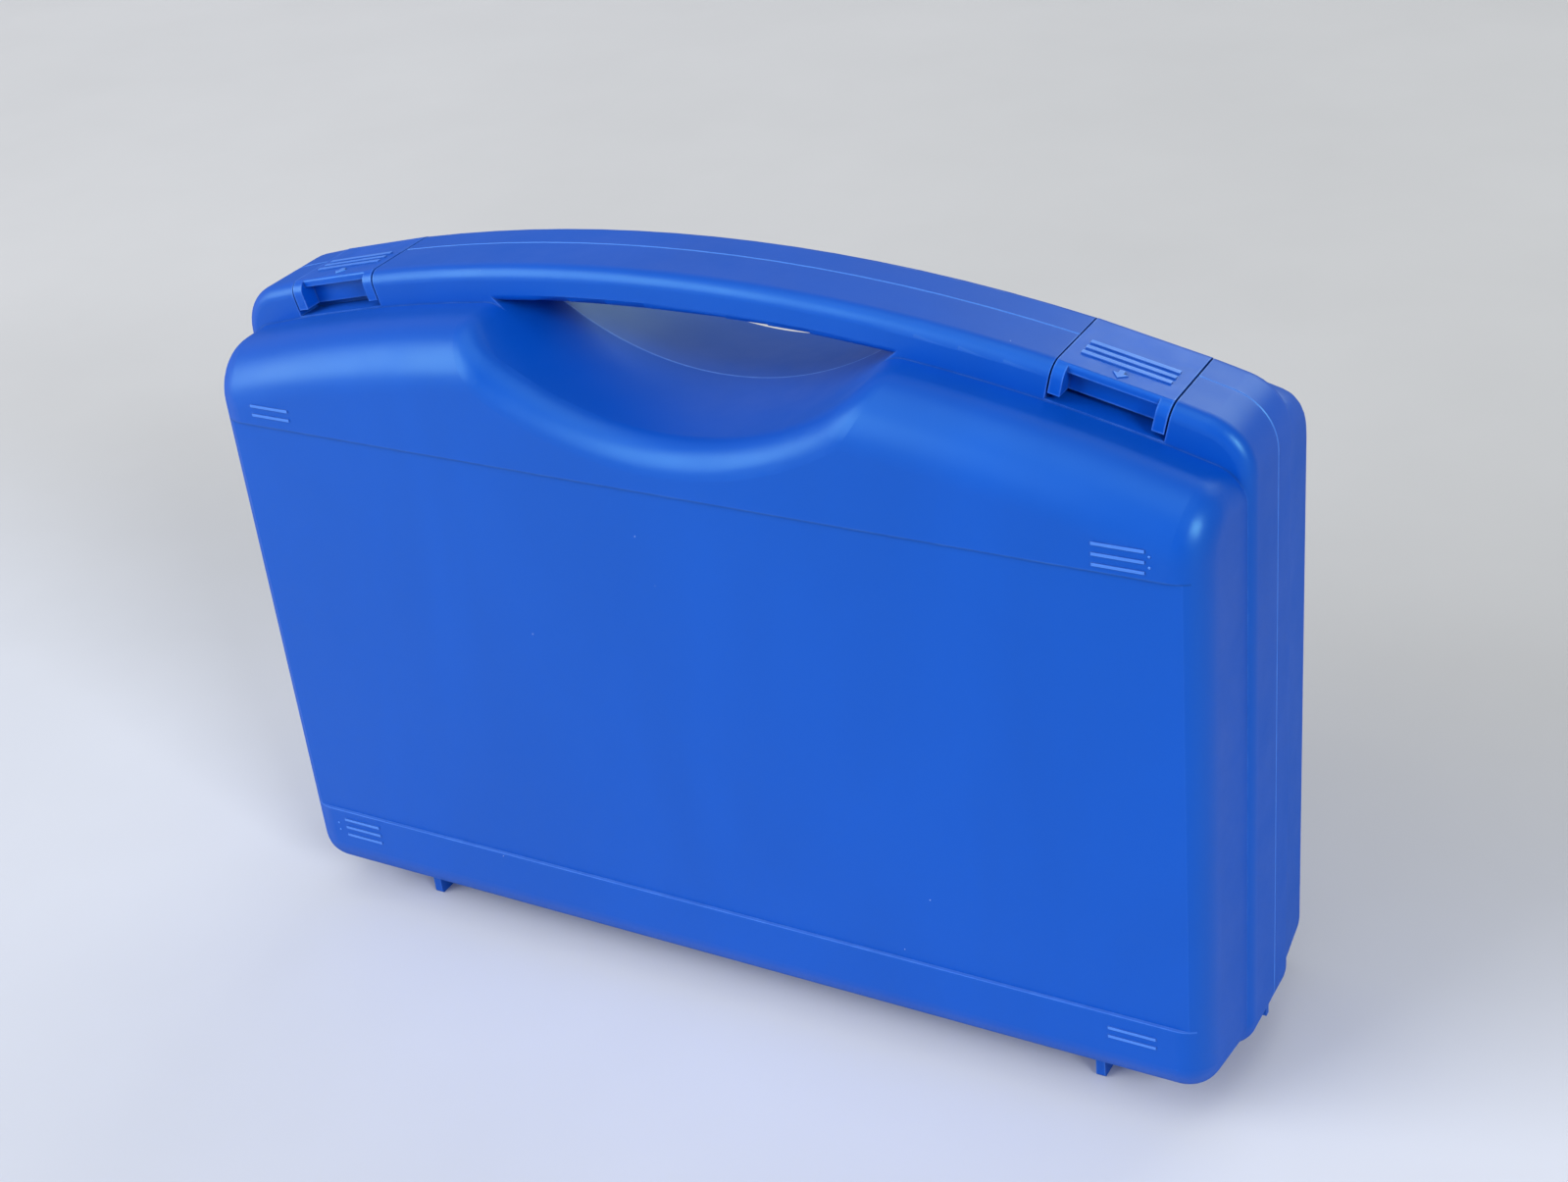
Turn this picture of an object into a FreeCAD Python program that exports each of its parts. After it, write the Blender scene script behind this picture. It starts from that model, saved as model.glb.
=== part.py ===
import FreeCAD, Part
import Sketcher
import math
import os
import re
from FreeCAD import Placement, Rotation, Vector

# Medical equipment case: two moulded shells on a pinned hinge, closed by two over-the-rim latches.
# Millimetres. +X to the right, +Y from the lid to the base, +Z up.
# The shells meet at Y = 0, and the case stands on its four feet at Z = 0, with its handle on top.

doc = FreeCAD.newDocument("medical_equipment_case")
sheet = doc.addObject("Spreadsheet::Sheet", "Sheet")
sheet.Label = "dims"

sizes = {
    # outside of the rim band
    "rimHalfWidth": 172.0,
    "archTop": 247.3,
    "archRadius": 590.0,
    "rimBottom": 12.0,
    "rimDepthLid": 20.0,
    "rimDepthBase": 15.0,
    "rimHeight": 11.5,
    "rimTopCorner": 17.0,
    "rimFootCorner": 12.0,
    "rimEdge": 4.5,
    "gripEdge": 2.4,
    "seamEdge": 0.3,
    # drafted tray of each shell
    "trayDepthLid": 46.5,
    "trayDepthBase": 43.4,
    "wall": 2.5,
    "rimProud": 0.3,
    "sideDraft": 4.2,
    "footDraft": 1.0,
    "shoulderRadius": 18.0,
    "trayCorner": 11.0,
    "trayEdgeLid": 11.0,
    "trayEdgeBase": 9.5,
    "trayTurn": 90.0,
    # hand opening
    "wellRadius": 101.0,
    "wellDrop": 39.5,
    "wellDraft": 2.6,
    "wellEdgeLid": 10.0,
    "wellEdgeBase": 6.0,
    "wellSeam": 0.4,
    # shallow field and raised corner lines of the outer face
    "fieldTopDrop": 57.3,
    "fieldHeight": 151.2,
    "fieldSink": 0.8,
    "markLength": 15.0,
    "markWidth": 0.9,
    "markRise": 0.4,
    "markRoot": 3.0,
    "markPitch": 3.2,
    "markInset": 20.5,
    "markAbove": 2.4,
    "markBelow": 3.5,
    # hollow of the handle and rim, open to the parting line
    "gripWall": 2.4,
    "ribPitch": 25.0,
    "ribThickness": 1.8,
    # locating tongue of the base in the rabbet of the lid
    "tongueThickness": 1.0,
    "tongueHeight": 2.0,
    "tongueFit": 0.25,
    # latch, its heights measured from the top of the rim where it sits
    "latchInset": 39.4,
    "latchWidth": 34.0,
    "latchPlate": 2.4,
    "latchGap": 0.55,
    "latchSink": 0.1,
    "pocketDrop": 11.2,
    "pocketFront": 1.5,
    "barrelRadius": 4.5,
    "legLength": 9.1,
    "legThickness": 3.6,
    "legDepth": 6.0,
    "legBend": 4.2,
    "lipSetback": 2.4,
    "lipEase": 1.0,
    "webThickness": 1.8,
    "webDrop": 9.2,
    "barbDepth": 0.9,
    "barbHeight": 1.6,
    "ledgeHeight": 1.5,
    "latchPinRadius": 1.5,
    "latchPinBite": 5.0,
    "ridgeLength": 26.3,
    "ridgeWidth": 1.5,
    "ridgeRise": 0.5,
    "ridgePitch": 3.3,
    "ridgeSetback": 9.0,
    # hinge below the rim
    "hingeInset": 66.0,
    "hingeHeight": 5.2,
    "knuckleRadius": 4.5,
    "knuckleLength": 12.0,
    "knuckleGap": 0.4,
    "gussetDepth": 9.0,
    "hingePinRadius": 1.6,
    "pinEase": 0.3,
    "pinShort": 0.2,
    "pinRecess": 1.0,
    "pressFit": 0.02,
    "bearingFit": 0.06,
    # standing feet
    "footInset": 44.5,
    "footThickness": 3.0,
    "footSetback": 24.0,
    "footDepth": 8.8,
    "footRound": 1.0,
    # how far cutters reach past what they cut, and joined pieces into each other
    "cutSpare": 10.0,
    "weldDepth": 0.5,
}

for row, (name, value) in enumerate(sizes.items(), start=1):
    sheet.set(f"A{row}", name)
    sheet.set(f"B{row}", str(value))
    sheet.setAlias(f"B{row}", name)
doc.recompute()

LID = -1
BASE = 1
knuckleCount = 5
bayCount = 8
markCount = 3
ridgeCount = 3

# Formulas that several pieces share
archCentre = "(archTop - archRadius)"
wellCentre = "(archTop - wellDrop + wellRadius)"
trayTopRadius = "(archRadius - rimHeight)"
latchX = "(rimHalfWidth - latchInset)"
latchCentreZ = f"({archCentre} + sqrt(archRadius * archRadius - {latchX} * {latchX}))"
barrelY = "(rimDepthBase - barrelRadius - latchSink)"
barrelZ = "(0 - barrelRadius - latchSink)"
webFace = "(rimDepthLid - legDepth - webThickness)"
keeperFace = "(rimDepthLid - legDepth - webThickness - barbDepth - tongueFit)"


def value(name):
    return float(sheet.get(name))


def sized(name, side):
    """The sheet's name for a size that each shell has its own value of."""
    return name + ("Lid" if side == LID else "Base")


def rule(text):
    """A formula over the sheet's names, as the document writes it."""
    return re.sub(r"[A-Za-z]\w*", lambda word: "dims." + word[0] if word[0] in sizes else word[0], text)


def bind(obj, **rules):
    for prop, text in rules.items():
        obj.setExpression(prop.replace("__", "."), rule(str(text)))


def add(kind, name):
    return doc.addObject(kind, name)


def box(name, x, y, z, length, width, height):
    """A block from its low corner and its three lengths."""
    solid = add("Part::Box", name)
    bind(solid, Length=length, Width=width, Height=height)
    bind(solid, Placement__Base__x=x, Placement__Base__y=y, Placement__Base__z=z)
    return solid


def sideBox(name, side, x, start, z, length, depth, height):
    """A block that starts at a distance from the parting line and goes away from it."""
    low = start if side == BASE else f"0 - ({start}) - ({depth})"
    return box(name, x, low, z, length, depth, height)


def disc(name, side, radius, z, depth):
    """A round disc whose flat end lies on the parting line."""
    solid = add("Part::Cylinder", name)
    solid.Placement = Placement(Vector(), Rotation(Vector(1, 0, 0), -90 * side))
    bind(solid, Radius=radius, Height=depth, Placement__Base__z=z)
    return solid


def rod(name, radius, x, y, z, length):
    """A round rod along X, centred on x."""
    solid = add("Part::Cylinder", name)
    solid.Placement = Placement(Vector(), Rotation(Vector(0, 1, 0), 90))
    bind(solid, Radius=radius, Height=length)
    bind(solid, Placement__Base__x=f"{x} - ({length}) / 2", Placement__Base__y=y, Placement__Base__z=z)
    return solid


def fuse(name, shapes):
    result = add("Part::MultiFuse", name)
    result.Shapes = shapes
    result.Refine = True
    doc.recompute()
    return result


def common(name, shapes):
    result = add("Part::MultiCommon", name)
    result.Shapes = shapes
    doc.recompute()
    return result


def cut(name, base, tool):
    result = add("Part::Cut", name)
    result.Base = base
    result.Tool = tool
    result.Refine = True
    doc.recompute()
    return result


def treatEdges(kind, name, base, sizeOf):
    """Round or bevel the edges of base for which sizeOf gives a size."""
    result = add(kind, name)
    result.Base = base
    chosen = []
    for number, edge in enumerate(base.Shape.Edges, start=1):
        size = sizeOf(edge)
        if size:
            chosen.append((number, size, size))
    result.Edges = chosen
    doc.recompute()
    return result


def roundEdges(name, base, sizeOf):
    return treatEdges("Part::Fillet", name, base, sizeOf)


def bevelEdges(name, base, sizeOf):
    return treatEdges("Part::Chamfer", name, base, sizeOf)


def middle(edge):
    return edge.valueAt((edge.FirstParameter + edge.LastParameter) / 2)


def close(first, second):
    return abs(first - second) < 0.06


# Tray of one shell: an arched profile turned about the arch's centre, cut to the drafted sides and bottom
def traySketch(name, side, inset, amount):
    sketch = add("Sketcher::SketchObject", name)
    sketch.Placement = Placement(Vector(), Rotation(Vector(1, 1, 1), 120))
    top = value("archTop") - value("rimHeight") - amount
    depth = sized("trayDepth", side)
    radius = value("shoulderRadius") - amount
    face = side * (value(depth) - amount)
    low = value("rimBottom") - value("cutSpare")
    bend = Vector(face - side * radius, top - radius, 0)
    corners = [
        Vector(0, low, 0),
        Vector(0, top, 0),
        Vector(bend.x, top, 0),
        Vector(face, bend.y, 0),
        Vector(face, low, 0),
    ]
    quarter = (0, math.pi / 2) if side == BASE else (math.pi / 2, math.pi)
    sketch.addGeometry(Part.LineSegment(corners[0], corners[1]))
    sketch.addGeometry(Part.LineSegment(corners[1], corners[2]))
    sketch.addGeometry(Part.ArcOfCircle(Part.Circle(bend, Vector(0, 0, 1), radius), *quarter))
    sketch.addGeometry(Part.LineSegment(corners[3], corners[4]))
    sketch.addGeometry(Part.LineSegment(corners[4], corners[0]))
    topEnd, faceEnd = (2, 1) if side == BASE else (1, 2)
    sketch.addConstraint([
        Sketcher.Constraint("Coincident", 0, 2, 1, 1),
        Sketcher.Constraint("Tangent", 1, 2, 2, topEnd),
        Sketcher.Constraint("Tangent", 2, faceEnd, 3, 1),
        Sketcher.Constraint("Coincident", 3, 2, 4, 1),
        Sketcher.Constraint("Coincident", 4, 2, 0, 1),
        Sketcher.Constraint("Vertical", 0),
        Sketcher.Constraint("Horizontal", 1),
        Sketcher.Constraint("Vertical", 3),
        Sketcher.Constraint("Horizontal", 4),
        Sketcher.Constraint("PointOnObject", 0, 1, -2),
    ])
    driven = {
        "low": (Sketcher.Constraint("DistanceY", -1, 1, 0, 1, low), "rimBottom - cutSpare"),
        "top": (Sketcher.Constraint("DistanceY", -1, 1, 0, 2, top), f"archTop - rimHeight - {inset}"),
        "face": (Sketcher.Constraint("DistanceX", -1, 1, 3, 2, face), f"{side} * ({depth} - {inset})"),
        "bend": (Sketcher.Constraint("Radius", 2, radius), f"shoulderRadius - {inset}"),
    }
    for label, (constraint, text) in driven.items():
        index = sketch.addConstraint(constraint)
        sketch.renameConstraint(index, label)
        sketch.setExpression(f"Constraints.{label}", rule(text))
    doc.recompute()
    return sketch


def drafted(name, side, inset):
    """The tray's sides and bottom, drawn in towards the outer face."""
    solid = add("Part::Wedge", name)
    depth = sized("trayDepth", side)
    reach = f"({depth} + cutSpare)"
    half = f"(rimHalfWidth - rimProud - {inset})"
    narrow = f"({half} - sideDraft * {reach} / {depth})"
    low = f"(rimBottom + rimProud + {inset})"
    high = f"({low} + footDraft * {reach} / {depth})"
    nearHalf, farHalf = (half, narrow) if side == BASE else (narrow, half)
    nearLow, farLow = (low, high) if side == BASE else (high, low)
    bind(solid, Xmin=f"0 - {nearHalf}", Xmax=nearHalf, Zmin=nearLow, Zmax="archTop + cutSpare")
    bind(solid, X2min=f"0 - {farHalf}", X2max=farHalf, Z2min=farLow, Z2max="archTop + cutSpare")
    bind(solid, Ymin=0 if side == BASE else f"0 - {reach}", Ymax=reach if side == BASE else 0)
    return solid


def wellCone(name, side, inset):
    """The round, slightly tapered cutter of the hand opening."""
    solid = add("Part::Cone", name)
    solid.Placement = Placement(Vector(), Rotation(Vector(1, 0, 0), -90 * side))
    bind(solid, Radius1=f"wellRadius + {inset}", Height=sized("trayDepth", side))
    bind(solid, Radius2=f"wellRadius + wellDraft + {inset}", Placement__Base__z=wellCentre)
    return solid


def roundedBlock(name, side, inset, amount):
    """The tray before the hand opening, drawn in on every outer face by inset, which now gives amount."""
    turned = add("Part::Revolution", name + "Turned")
    turned.Source = traySketch(name + "Profile", side, inset, amount)
    turned.Axis = Vector(0, 1, 0)
    turned.Symmetric = True
    turned.Solid = True
    bind(turned, Base__z=archCentre, Angle="trayTurn")
    block = common(name + "Block", [turned, drafted(name + "Draft", side, inset)])

    face = side * (value(sized("trayDepth", side)) - amount)
    cornerRadius = value("trayCorner") - amount
    edgeRadius = value(sized("trayEdge", side)) - amount

    def footCorners(edge):
        point = middle(edge)
        spansDepth = close(edge.BoundBox.YLength, abs(face))
        return cornerRadius if spansDepth and point.z < value("archTop") / 2 else 0

    def outline(edge):
        bounds = edge.BoundBox
        point = middle(edge)
        if close(bounds.YMin, 0) and close(bounds.YMax, 0):
            return 0
        onFace = close(bounds.YMin, face) and close(bounds.YMax, face)
        onSide = abs(point.x) > value("rimHalfWidth") - value("sideDraft") - value("trayCorner")
        high = point.z > value("archTop") / 2
        return edgeRadius if (onFace and (onSide or not high)) or (onSide and high) else 0

    cornered = roundEdges(name + "Corners", block, footCorners)
    return roundEdges(name, cornered, outline)


def wellEdges(side, amount, size, atSeam):
    """Picks the hand opening's edges at the parting line, or all its others."""
    centre = value("archTop") - value("wellDrop") + value("wellRadius")
    depth = value(sized("trayDepth", side))

    def sizeOf(edge):
        point = middle(edge)
        coneRadius = value("wellRadius") + amount + value("wellDraft") * abs(point.y) / depth
        onWell = close(math.hypot(point.x, point.z - centre), coneRadius)
        return size if onWell and close(point.y, 0) == atSeam else 0
    return sizeOf


def openTray(name, side, inset="0", amount=0.0):
    """The tray with its hand opening and the opening's round mouth, all drawn in by inset."""
    rounded = roundedBlock(name + "Rounded", side, inset, amount)
    opened = cut(name + "Open", rounded, wellCone(name + "Well", side, inset))
    mouth = value(sized("wellEdge", side)) - amount
    return roundEdges(name, opened, wellEdges(side, amount, mouth, False))


def tray(name, side):
    """The outside of the tray, with a shallow bevel along the parting line of its hand opening."""
    return bevelEdges(name, openTray(name + "Mouthed", side), wellEdges(side, 0, value("wellSeam"), True))


# Rim band of one shell, with its half of the handle
def rim(name, side):
    depth = sized("rimDepth", side)
    arch = disc(name + "Arch", side, "archRadius", archCentre, depth)
    width = "2 * rimHalfWidth"
    slab = sideBox(name + "Slab", side, "0 - rimHalfWidth", 0, "rimBottom", width, depth, "archTop")
    plate = common(name + "Plate", [arch, slab])
    outer = side * value(depth)

    def corners(edge):
        bounds = edge.BoundBox
        if not close(bounds.XLength, 0) or not close(bounds.YLength, value(depth)):
            return 0
        return value("rimTopCorner") if bounds.ZMin > value("archTop") / 2 else value("rimFootCorner")

    def edgesAt(level, size):
        return lambda edge: value(size) if close(middle(edge).y, level) else 0

    cornered = roundEdges(name + "Corners", plate, corners)
    seamed = bevelEdges(name + "Seam", cornered, edgesAt(0, "seamEdge"))
    rounded = roundEdges(name + "Edges", seamed, edgesAt(outer, "rimEdge"))
    inner = disc(name + "Under", side, trayTopRadius, archCentre, f"{depth} + cutSpare")
    lens = common(name + "Lens", [inner, wellCone(name + "Well", side, 0)])
    opened = cut(name + "Open", rounded, lens)
    centre = value("archTop") - value("archRadius")
    underRadius = value("archRadius") - value("rimHeight")

    def grip(edge):
        point = middle(edge)
        onUnder = close(math.hypot(point.x, point.z - centre), underRadius)
        return value("gripEdge") if onUnder and close(point.y, outer) else 0

    return roundEdges(name, opened, grip)


def gripHollow(name, side):
    """Bays inside the rim and handle, with ribs left standing between them."""
    depth = sized("rimDepth", side) + " - gripWall"
    high = disc(name + "High", side, "archRadius - gripWall", archCentre, depth)
    low = disc(name + "Low", side, "archRadius - rimHeight + gripWall", archCentre, depth)
    ring = cut(name + "Ring", high, low)
    bays = []
    for bay in range(bayCount):
        start = f"{bay - bayCount / 2} * ribPitch + ribThickness / 2"
        length = "ribPitch - ribThickness"
        bays.append(sideBox(f"{name}Bay{bay}", side, start, 0, "archTop / 2", length, depth, "archTop"))
    return common(name, [ring, fuse(name + "Bays", bays)])


def mouthPrism(name, side, inset, depth):
    """A straight slice of the tray's outline at the parting line, drawn in by inset."""
    half = f"(rimHalfWidth - rimProud - {inset})"
    low = f"(rimBottom + rimProud + {inset})"
    block = sideBox(name + "Block", side, f"0 - {half}", 0, low, f"2 * {half}", depth, "archTop")
    arch = disc(name + "Arch", side, f"{trayTopRadius} - {inset}", archCentre, depth)
    plate = common(name + "Plate", [block, arch])
    well = disc(name + "Well", side, f"wellRadius + {inset}", wellCentre, depth)
    return cut(name, plate, well)


# Latch frame: X along the rim, Z out of the rim, the origin on the rim's top at the parting line
def placeOnArch(obj, hand):
    obj.Placement = Placement(Vector(), Rotation(Vector(0, 1, 0), 1))
    bind(obj, Placement__Base__x=f"{hand} * {latchX}", Placement__Base__z=latchCentreZ)
    obj.setExpression("Placement.Rotation.Angle", rule(f"{hand} * asin({latchX} / archRadius)"))
    doc.recompute()
    return obj


def latchPocket(name, side):
    """Room for one latch in one shell, in the latch frame."""
    width = "(latchWidth + 2 * latchGap)"
    left = f"0 - {width} / 2"
    plateDrop = "(latchPlate + latchSink + tongueFit)"
    height = f"{plateDrop} + cutSpare"
    top = sideBox(name + "Top", side, left, 0, f"0 - {plateDrop}", width, "rimDepthLid", height)
    if side == LID:
        reach = f"(rimDepthLid + pocketFront - {keeperFace})"
        height = "pocketDrop + cutSpare"
        front = sideBox(name + "Front", side, left, keeperFace, "0 - pocketDrop", width, reach, height)
        ledgeZ = "0 - webDrop + barbHeight + tongueFit"
        ledge = sideBox(name + "Ledge", side, left, keeperFace, ledgeZ, width, "barbDepth", "ledgeHeight")
        return fuse(name, [top, cut(name + "Step", front, ledge)])
    start = f"({barrelY} - barrelRadius - tongueFit)"
    drop = "(2 * barrelRadius + latchSink + tongueFit)"
    height = f"{drop} + cutSpare"
    back = sideBox(name + "Back", side, left, start, f"0 - {drop}", width, "rimDepthBase", height)
    bore = rod(name + "Bore", "latchPinRadius + pressFit", 0, barrelY, barrelZ, f"{width} + 2 * latchPinBite")
    return fuse(name, [top, back, bore])


def hingeX(hand, knuckle):
    """Low end of one knuckle of the hinge on one hand."""
    place = knuckle - knuckleCount / 2
    return f"{hand} * (rimHalfWidth - hingeInset) + {place} * knuckleLength + knuckleGap / 2"


def knuckles(name, side):
    """The hinge knuckles of one shell: the base has the outer ones, the lid those between."""
    solids = []
    length = "(knuckleLength - knuckleGap)"
    for hand in (-1, 1):
        for knuckle in range(0 if side == BASE else 1, knuckleCount, 2):
            label = f"{name}{'Left' if hand < 0 else 'Right'}{knuckle}"
            low = hingeX(hand, knuckle)
            solids.append(rod(label, "knuckleRadius", f"{low} + {length} / 2", 0, "hingeHeight", length))
            web = add("Part::Wedge", label + "Web")
            web.Placement = Placement(Vector(), Rotation(Vector(1, 0, 0), 90))
            bind(web, Xmin=0, Xmax=length, X2min=0, X2max=length)
            bind(web, Ymin=0, Ymax="rimBottom + weldDepth - hingeHeight")
            near = f"0 - {side} * knuckleRadius"
            wide = f"0 - {side} * gussetDepth"
            bind(web, Zmin=near if side == BASE else 0, Zmax=0 if side == BASE else near)
            bind(web, Z2min=wide if side == BASE else 0, Z2max=0 if side == BASE else wide)
            bind(web, Placement__Base__x=low, Placement__Base__z="hingeHeight")
            solids.append(web)
    return solids


def hingeBores(name, side):
    fit = "bearingFit" if side == LID else "pressFit"
    length = f"({knuckleCount} * knuckleLength)"
    bores = []
    for hand, word in ((-1, "Left"), (1, "Right")):
        centre = f"{hand} * (rimHalfWidth - hingeInset)"
        bores.append(rod(name + word, f"hingePinRadius + {fit}", centre, 0, "hingeHeight", length))
    return bores


def footTip(edge):
    bounds = edge.BoundBox
    return value("footRound") if close(bounds.ZMax, 0) and close(bounds.YLength, 0) else 0


def feet(name, side):
    solids = []
    for hand in (-1, 1):
        label = f"{name}{'Left' if hand < 0 else 'Right'}"
        x = f"{hand} * (rimHalfWidth - footInset) - footThickness / 2"
        height = "rimBottom + rimProud + footDraft + weldDepth"
        block = sideBox(label + "Block", side, x, "footSetback", 0, "footThickness", "footDepth", height)
        doc.recompute()
        solids.append(roundEdges(label, block, footTip))
    return solids


def marks(name, side):
    """Short raised lines in the corners of the outer face: three and, across the other diagonal, two."""
    strips = []
    depth = sized("trayDepth", side)
    top = "(archTop - fieldTopDrop + markAbove)"
    low = "(archTop - fieldTopDrop - fieldHeight - markBelow)"
    for hand in (-1, 1):
        x = f"{hand} * (rimHalfWidth - markInset - markLength / 2) - markLength / 2"
        for level, start, rise in (("High", top, 1), ("Low", low, -1)):
            missing = 0 if hand == rise else 1
            for line in range(markCount - missing):
                label = f"{name}{level}{'Left' if hand < 0 else 'Right'}{line}"
                z = f"{start} + {rise * (line + missing / 2)} * markPitch - markWidth / 2"
                root = depth + " - markRoot"
                strips.append(sideBox(label, side, x, root, z, "markLength", "2 * markRoot", "markWidth"))
    skin = roundedBlock(name + "Skin", side, "(0 - markRise)", -value("markRise"))
    return common(name, [fuse(name + "Strips", strips), skin])


def field(name, side):
    z = "archTop - fieldTopDrop - fieldHeight"
    start = sized("trayDepth", side) + " - fieldSink"
    return sideBox(name, side, "0 - rimHalfWidth", start, z, "2 * rimHalfWidth", "cutSpare", "fieldHeight")


# Lid and base shells
def shell(label, side):
    body = fuse(label + "Body", [tray(label + "Tray", side), rim(label + "Rim", side)])
    fielded = cut(label + "Fielded", body, field(label + "Field", side))
    added = [marks(label + "Mark", side)] + feet(label + "Foot", side) + knuckles(label + "Knuckle", side)
    dressed = fuse(label + "Dressed", [fielded] + added)
    cutters = [openTray(label + "Cavity", side, "wall", value("wall")), gripHollow(label + "Grip", side)]
    for hand, word in ((-1, "Left"), (1, "Right")):
        cutters.append(placeOnArch(latchPocket(f"{label}Pocket{word}", side), hand))
    cutters += hingeBores(label + "Bore", side)
    if side == LID:
        rabbet = "(wall - tongueThickness - tongueFit)"
        cutters.append(mouthPrism(label + "Rabbet", side, rabbet, "tongueHeight + tongueFit"))
    hollow = cut(label + "Hollow", dressed, fuse(label + "Cutters", cutters))
    if side == LID:
        return hollow
    outer = mouthPrism(label + "TongueOuter", LID, "(wall - tongueThickness)", "tongueHeight")
    inner = mouthPrism(label + "TongueInner", LID, "wall", "tongueHeight")
    return fuse(label + "Shell", [hollow, cut(label + "Tongue", outer, inner)])


nodes = {}
nodes["lid_shell"] = shell("lid", LID)
nodes["base_shell"] = shell("base", BASE)


# Latch: a plate over the rim, turning on a barrel at the base's edge and hooking on the lid's ledge
def latch(name, hand):
    half = "latchWidth / 2"
    front = "0 - rimDepthLid"
    plateY = f"{front} + lipSetback"
    plateLength = f"(rimDepthLid - lipSetback + {barrelY})"
    plateZ = "0 - latchSink - latchPlate"
    plate = box(name + "Slab", f"0 - {half}", plateY, plateZ, "latchWidth", plateLength, "latchPlate")
    doc.recompute()
    plate = roundEdges(name + "Plate", plate, topFront("lipEase", value("lipSetback") - value("rimDepthLid")))
    barrel = rod(name + "Barrel", "barrelRadius", 0, barrelY, barrelZ, "latchWidth")
    webY = f"{front} + legDepth"
    webHeight = "webDrop - latchSink - weldDepth"
    web = box(name + "Web", f"0 - {half}", webY, "0 - webDrop", "latchWidth", "webThickness", webHeight)
    barbWidth = "(latchWidth - 2 * legThickness)"
    barbX = f"0 - {barbWidth} / 2"
    barb = box(name + "Barb", barbX, f"0 - {webFace}", "0 - webDrop", barbWidth, "barbDepth", "barbHeight")
    solids = [plate, barrel, web, barb]
    for end, word in ((-1, "Outer"), (1, "Inner")):
        x = f"{end} * ({half} - legThickness / 2) - legThickness / 2"
        legZ = "0 - latchSink - legLength"
        leg = box(f"{name}{word}", x, front, legZ, "legThickness", "legDepth + webThickness", "legLength")
        doc.recompute()
        solids.append(roundEdges(f"{name}{word}Leg", leg, topFront("legBend", -value("rimDepthLid"))))
    ridgeX = "0 - ridgeLength / 2"
    ridgeZ = "0 - latchSink - weldDepth"
    ridgeHeight = "ridgeRise + weldDepth"
    for ridge in range(ridgeCount):
        ridgeY = f"0 - ridgeSetback + {ridge} * ridgePitch - ridgeWidth / 2"
        ridgeName = f"{name}Ridge{ridge}"
        solids.append(box(ridgeName, ridgeX, ridgeY, ridgeZ, "ridgeLength", "ridgeWidth", ridgeHeight))
    body = fuse(name + "Body", solids)
    bore = rod(name + "Bore", "latchPinRadius + bearingFit", 0, barrelY, barrelZ, "latchWidth + cutSpare")
    return placeOnArch(cut(name, body, bore), hand)


def topFront(radius, front):
    """Picks the edge along X where a block's top meets its front."""
    def radiusOf(edge):
        bounds = edge.BoundBox
        onFront = close(bounds.YMin, front) and close(bounds.YMax, front)
        return value(radius) if onFront and close(bounds.ZMin, -value("latchSink")) else 0
    return radiusOf


def pin(name, radius, x, y, z, length):
    """A plain steel pin along X with its two ends eased."""
    rough = rod(name + "Rough", radius, x, y, z, length)
    doc.recompute()
    return bevelEdges(name, rough, lambda edge: value("pinEase") if close(edge.BoundBox.XLength, 0) else 0)


for hand, word in ((-1, "left"), (1, "right")):
    nodes[f"latch_{word}"] = latch(f"latch{word.title()}", hand)
    latchPinLength = "latchWidth + 2 * latchGap + 2 * (latchPinBite - pinShort)"
    latchPin = pin(f"latchPin{word.title()}", "latchPinRadius", 0, barrelY, barrelZ, latchPinLength)
    nodes[f"latch_pin_{word}"] = placeOnArch(latchPin, hand)
    hingeCentre = f"{hand} * (rimHalfWidth - hingeInset)"
    hingePinLength = f"{knuckleCount} * knuckleLength - 2 * pinRecess"
    hingePin = pin(f"hingePin{word.title()}", "hingePinRadius", hingeCentre, 0, "hingeHeight", hingePinLength)
    nodes[f"hinge_pin_{word}"] = hingePin

doc.recompute()
for obj in doc.Objects:
    if "Invalid" in obj.State or "Error" in obj.State:
        raise RuntimeError(f"{obj.Name} didn't build: {obj.State}")

os.makedirs("parts", exist_ok=True)
for node, obj in nodes.items():
    obj.Label = node
    shape = obj.Shape
    if shape.isNull() or not shape.isValid() or len(shape.Solids) != 1:
        raise RuntimeError(f"{node} isn't one valid solid")
    shape.exportStep(f"parts/{node}.step")
    print(node, round(shape.Volume), shape.BoundBox)
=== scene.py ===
import math

import bmesh
import bpy
from mathutils import Matrix, Vector


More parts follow.
